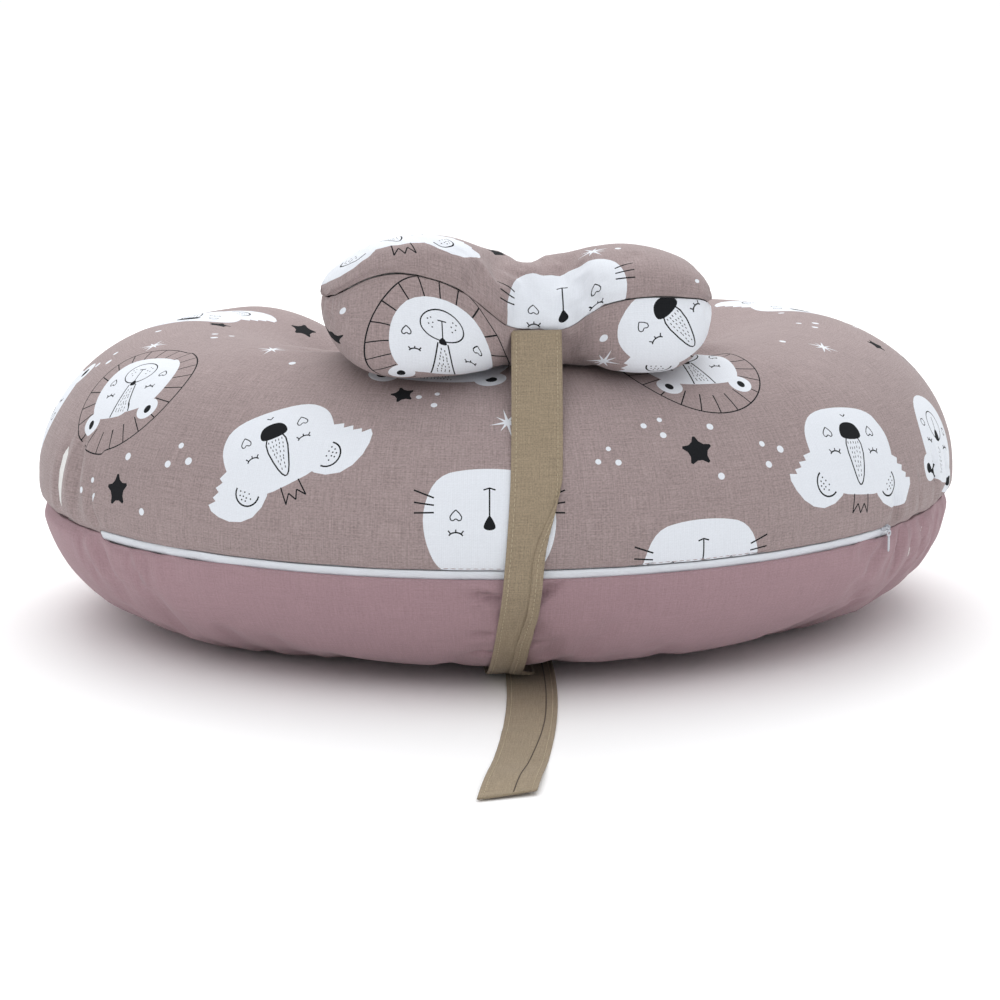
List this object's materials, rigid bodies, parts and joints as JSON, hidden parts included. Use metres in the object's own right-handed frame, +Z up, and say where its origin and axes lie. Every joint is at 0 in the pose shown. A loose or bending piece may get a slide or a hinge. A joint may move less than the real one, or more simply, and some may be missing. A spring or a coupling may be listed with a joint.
{
  "type": "nursing pillow",
  "caption": "C-shaped nursing pillow in a zipped two-fabric cover, with a small figure-eight head pillow strapped over its front arc.",
  "frame": {"origin": "under the middle of the whole object's box, on the surface that the pillow lies on", "axes": "+Z up, -Y towards the front arc with the zip and the loose strap end, +X to the right seen from the front"},
  "size_m": [0.6198, 0.6406, 0.2765],
  "materials": {
    "printed_cotton": "matte plain-weave cotton, taupe with a white and black print",
    "pink_cotton": "matte plain-weave cotton, dusty pink",
    "casing_fleece": "white non-woven fabric",
    "fibre_filling": "white fibre filling",
    "zip_tape": "white knitted zip tape",
    "zip_nylon": "white nylon coil",
    "zip_metal": "white enamelled metal",
    "beige_cotton": "matte beige cotton with two rows of topstitching"
  },
  "bodies": {
    "main_pillow": {"cover_top_panel": "printed_cotton", "cover_bottom_panel": "pink_cotton", "inner_casing_top": "casing_fleece", "inner_casing_bottom": "casing_fleece", "main_filling": "fibre_filling", "zip_tape_upper": "zip_tape", "zip_tape_lower": "zip_tape", "zip_coil_upper": "zip_nylon", "zip_coil_lower": "zip_nylon", "zip_bottom_stop": "zip_metal", "zip_top_stop_upper": "zip_metal", "zip_top_stop_lower": "zip_metal"},
    "slider": {"zip_slider": "zip_metal"},
    "pull": {"zip_pull_tab": "zip_metal"},
    "head_pillow": {"head_top_panel": "printed_cotton", "head_bottom_panel": "printed_cotton", "head_filling": "fibre_filling", "strap_front": "beige_cotton", "strap_rear": "beige_cotton", "strap_knot": "beige_cotton", "strap_tail_front": "beige_cotton", "strap_tail_rear": "beige_cotton"}
  },
  "joints": [
    {"name": "zip_travel", "type": "hinge", "parent": "main_pillow", "child": "slider", "pos_m": [0, 0.1695, 0.086], "axis": [0, 0, 1], "range_deg": [-100.5, 0]},
    {"name": "pull_swing", "type": "hinge", "parent": "slider", "child": "pull", "pos_m": [0.21854, -0.07049, 0.086], "axis": [-0.7394, -0.6733, 0], "range_deg": [-3, 160]},
    {"name": "head_pillow_shift", "type": "hinge", "parent": "main_pillow", "child": "head_pillow", "pos_m": [0, 0.1695, 0], "axis": [0, 0, 1], "range_deg": [-25, 25]}
  ]
}
